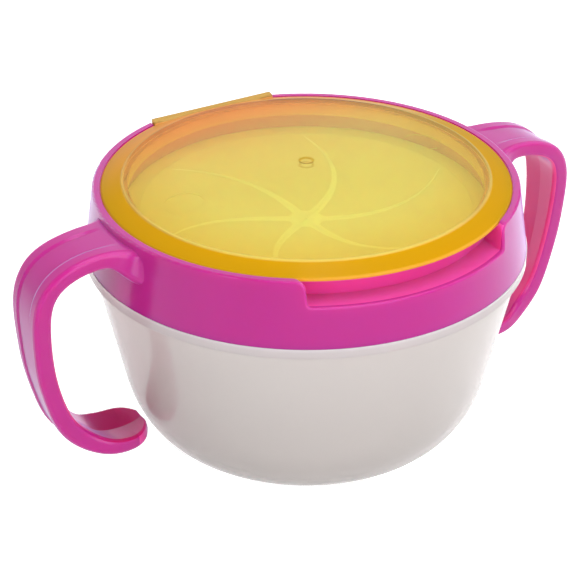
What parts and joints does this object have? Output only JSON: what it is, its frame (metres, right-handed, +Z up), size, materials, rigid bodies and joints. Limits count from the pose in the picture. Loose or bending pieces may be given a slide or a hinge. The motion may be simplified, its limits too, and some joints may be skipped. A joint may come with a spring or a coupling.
{
  "type": "baby food bowl with lid",
  "caption": "Round two-handled feeding bowl with a flip lid and a slit soft membrane that a small hand can push through.",
  "frame": {"origin": "centre of the bowl's foot, on the surface it stands on", "axes": "+Z up along the bowl's axis, +X through the right handle, +Y towards the lid's hinge"},
  "size_m": [0.1676, 0.1198, 0.0805],
  "materials": {
    "clear_frosted": "frosted translucent polypropylene",
    "pink_gloss": "glossy opaque polypropylene",
    "amber_clear": "glossy see-through plastic",
    "soft_membrane": "soft satin thermoplastic rubber"
  },
  "bodies": {
    "bowl_and_ring": {"bowl": "clear_frosted", "handle_collar": "pink_gloss", "membrane_border": "soft_membrane"},
    "lid": {"lid": "amber_clear"},
    "flap_1": {"membrane_flap_1": "soft_membrane"},
    "flap_2": {"membrane_flap_2": "soft_membrane"},
    "flap_3": {"membrane_flap_3": "soft_membrane"},
    "flap_4": {"membrane_flap_4": "soft_membrane"},
    "flap_5": {"membrane_flap_5": "soft_membrane"},
    "flap_6": {"membrane_flap_6": "soft_membrane"}
  },
  "joints": [
    {"name": "lid_hinge", "type": "hinge", "parent": "bowl_and_ring", "child": "lid", "pos_m": [0, 0.0528, 0.0741], "axis": [-1, 0, 0], "range_deg": [0, 115]},
    {"name": "flap_1_flex", "type": "hinge", "parent": "bowl_and_ring", "child": "flap_1", "pos_m": [0.03225, 0.01862, 0.06505], "axis": [0.5, -0.866, 0], "range_deg": [-8, 70], "stiffness_Nm_per_rad": 0.02},
    {"name": "flap_2_flex", "type": "hinge", "parent": "bowl_and_ring", "child": "flap_2", "pos_m": [0, 0.03724, 0.06505], "axis": [1, 0, 0], "range_deg": [-8, 70], "stiffness_Nm_per_rad": 0.02},
    {"name": "flap_3_flex", "type": "hinge", "parent": "bowl_and_ring", "child": "flap_3", "pos_m": [-0.03225, 0.01862, 0.06505], "axis": [0.5, 0.866, 0], "range_deg": [-8, 70], "stiffness_Nm_per_rad": 0.02},
    {"name": "flap_4_flex", "type": "hinge", "parent": "bowl_and_ring", "child": "flap_4", "pos_m": [-0.03225, -0.01862, 0.06505], "axis": [-0.5, 0.866, 0], "range_deg": [-8, 70], "stiffness_Nm_per_rad": 0.02},
    {"name": "flap_5_flex", "type": "hinge", "parent": "bowl_and_ring", "child": "flap_5", "pos_m": [0, -0.03724, 0.06505], "axis": [-1, 0, 0], "range_deg": [-8, 70], "stiffness_Nm_per_rad": 0.02},
    {"name": "flap_6_flex", "type": "hinge", "parent": "bowl_and_ring", "child": "flap_6", "pos_m": [0.03225, -0.01862, 0.06505], "axis": [-0.5, -0.866, 0], "range_deg": [-8, 70], "stiffness_Nm_per_rad": 0.02}
  ]
}
